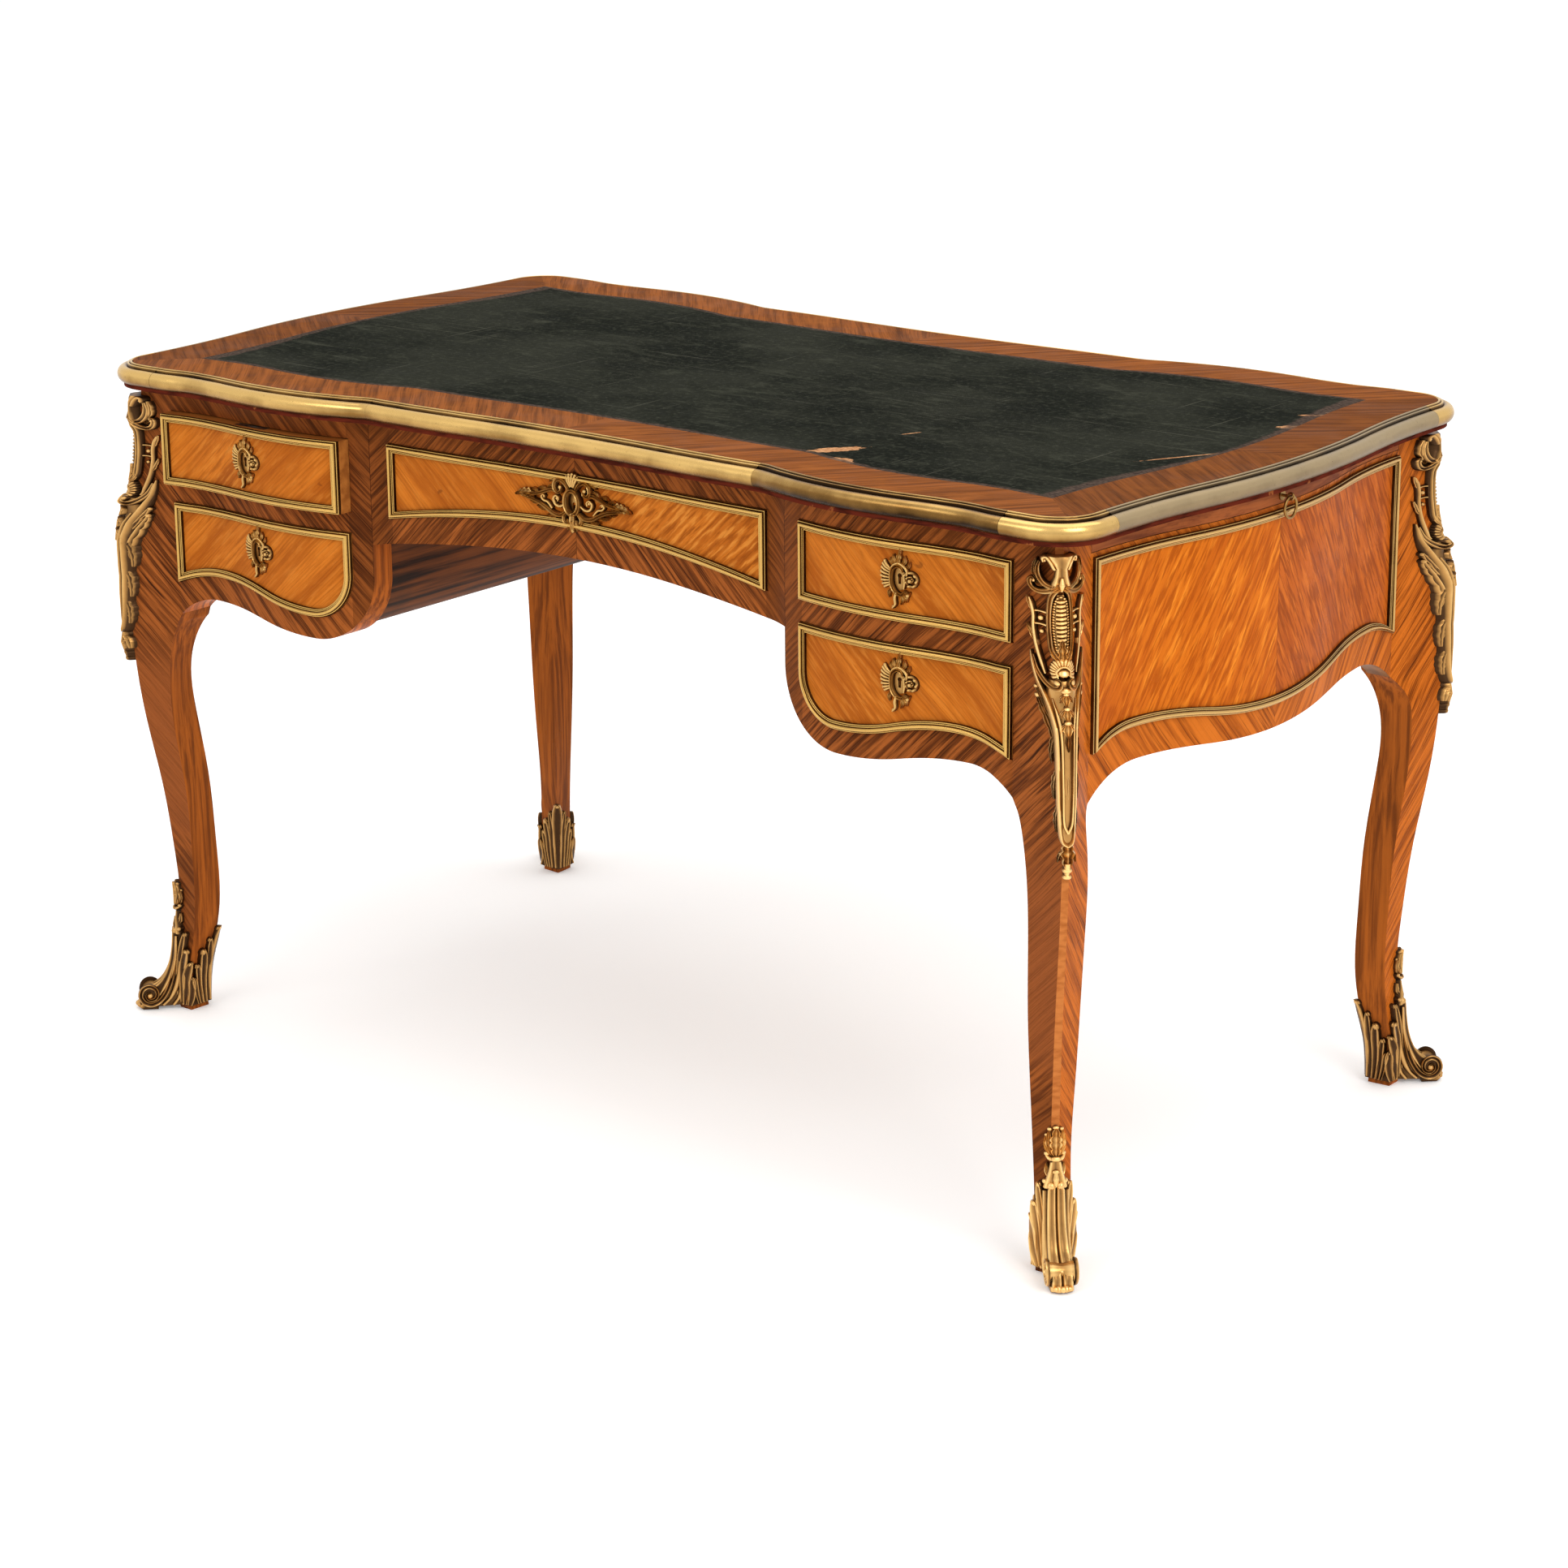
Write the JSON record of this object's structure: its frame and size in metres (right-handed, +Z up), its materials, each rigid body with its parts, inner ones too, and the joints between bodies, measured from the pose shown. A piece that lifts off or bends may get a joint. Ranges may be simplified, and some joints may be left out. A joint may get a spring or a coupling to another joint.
{
  "type": "writing desk",
  "caption": "Serpentine flat-top writing desk on cabriole legs, leather top in a brass edge, pedestal and centre drawers with locks, side writing slides with ring pulls.",
  "frame": {"origin": "on the floor under the middle of the top", "axes": "+X to the sitter's right along the length, +Y from the drawer front to the back, +Z up"},
  "size_m": [1.392, 0.754, 0.78],
  "materials": {
    "veneered_wood": "french polished",
    "inside_wood": "plain",
    "leather": "worn",
    "gilt_brass": "aged gilding",
    "lock_steel": "dull"
  },
  "bodies": {
    "desk": {"leg_front_right": "veneered_wood", "leg_front_left": "veneered_wood", "leg_back_right": "veneered_wood", "leg_back_left": "veneered_wood", "side_panel_right": "veneered_wood", "side_panel_left": "veneered_wood", "back_panels": "veneered_wood", "front_top_rail": "veneered_wood", "centre_apron": "veneered_wood", "front_stiles": "veneered_wood", "pedestal_rails": "veneered_wood", "pedestal_apron_right": "veneered_wood", "pedestal_apron_left": "veneered_wood", "kneehole_walls": "inside_wood", "pedestal_bottoms": "inside_wood", "drawer_runners": "inside_wood", "slide_bearers": "inside_wood", "top_bearers": "inside_wood", "top_board": "veneered_wood", "top_leather": "leather", "edge_front": "gilt_brass", "edge_back": "gilt_brass", "edge_sides": "gilt_brass", "edge_corners": "gilt_brass", "side_frames": "gilt_brass", "back_frames": "gilt_brass", "corner_mounts": "gilt_brass", "sabots": "gilt_brass"},
    "centre_drawer": {"centre_drawer_front": "veneered_wood", "centre_drawer_box": "inside_wood", "centre_drawer_mounts": "gilt_brass", "centre_drawer_lock": "lock_steel"},
    "centre_drawer_bolt": {"centre_drawer_bolt": "lock_steel"},
    "upper_right_drawer": {"upper_right_drawer_front": "veneered_wood", "upper_right_drawer_box": "inside_wood", "upper_right_drawer_mounts": "gilt_brass", "upper_right_drawer_lock": "lock_steel"},
    "upper_right_drawer_bolt": {"upper_right_drawer_bolt": "lock_steel"},
    "upper_left_drawer": {"upper_left_drawer_front": "veneered_wood", "upper_left_drawer_box": "inside_wood", "upper_left_drawer_mounts": "gilt_brass", "upper_left_drawer_lock": "lock_steel"},
    "upper_left_drawer_bolt": {"upper_left_drawer_bolt": "lock_steel"},
    "lower_right_drawer": {"lower_right_drawer_front": "veneered_wood", "lower_right_drawer_box": "inside_wood", "lower_right_drawer_mounts": "gilt_brass", "lower_right_drawer_lock": "lock_steel"},
    "lower_right_drawer_bolt": {"lower_right_drawer_bolt": "lock_steel"},
    "lower_left_drawer": {"lower_left_drawer_front": "veneered_wood", "lower_left_drawer_box": "inside_wood", "lower_left_drawer_mounts": "gilt_brass", "lower_left_drawer_lock": "lock_steel"},
    "lower_left_drawer_bolt": {"lower_left_drawer_bolt": "lock_steel"},
    "writing_slide_right": {"slide_right": "veneered_wood", "slide_staple_right": "gilt_brass"},
    "slide_ring_right": {"slide_ring_right": "gilt_brass"},
    "writing_slide_left": {"slide_left": "veneered_wood", "slide_staple_left": "gilt_brass"},
    "slide_ring_left": {"slide_ring_left": "gilt_brass"}
  },
  "joints": [
    {"name": "centre_drawer_slide", "type": "slide", "parent": "desk", "child": "centre_drawer", "axis": [0, -1, 0], "range_m": [0, 0.38]},
    {"name": "centre_drawer_bolt_slide", "type": "slide", "parent": "centre_drawer", "child": "centre_drawer_bolt", "axis": [0, 0, 1], "range_m": [0, 0.008]},
    {"name": "upper_right_drawer_slide", "type": "slide", "parent": "desk", "child": "upper_right_drawer", "axis": [0, -1, 0], "range_m": [0, 0.38]},
    {"name": "upper_right_drawer_bolt_slide", "type": "slide", "parent": "upper_right_drawer", "child": "upper_right_drawer_bolt", "axis": [0, 0, 1], "range_m": [0, 0.008]},
    {"name": "upper_left_drawer_slide", "type": "slide", "parent": "desk", "child": "upper_left_drawer", "axis": [0, -1, 0], "range_m": [-0.014, 0.366]},
    {"name": "upper_left_drawer_bolt_slide", "type": "slide", "parent": "upper_left_drawer", "child": "upper_left_drawer_bolt", "axis": [0, 0, 1], "range_m": [0, 0.008]},
    {"name": "lower_right_drawer_slide", "type": "slide", "parent": "desk", "child": "lower_right_drawer", "axis": [0, -1, 0], "range_m": [0, 0.38]},
    {"name": "lower_right_drawer_bolt_slide", "type": "slide", "parent": "lower_right_drawer", "child": "lower_right_drawer_bolt", "axis": [0, 0, 1], "range_m": [0, 0.008]},
    {"name": "lower_left_drawer_slide", "type": "slide", "parent": "desk", "child": "lower_left_drawer", "axis": [0, -1, 0], "range_m": [0, 0.38]},
    {"name": "lower_left_drawer_bolt_slide", "type": "slide", "parent": "lower_left_drawer", "child": "lower_left_drawer_bolt", "axis": [0, 0, 1], "range_m": [0, 0.008]},
    {"name": "writing_slide_right_pull", "type": "slide", "parent": "desk", "child": "writing_slide_right", "axis": [1, 0, 0], "range_m": [0, 0.25]},
    {"name": "slide_ring_right_swing", "type": "hinge", "parent": "writing_slide_right", "child": "slide_ring_right", "pos_m": [0.6768, 0, 0.7403], "axis": [0, -1, 0], "range_deg": [0, 90]},
    {"name": "writing_slide_left_pull", "type": "slide", "parent": "desk", "child": "writing_slide_left", "axis": [-1, 0, 0], "range_m": [0, 0.25]},
    {"name": "slide_ring_left_swing", "type": "hinge", "parent": "writing_slide_left", "child": "slide_ring_left", "pos_m": [-0.6768, 0, 0.7403], "axis": [0, 1, 0], "range_deg": [0, 90]}
  ]
}
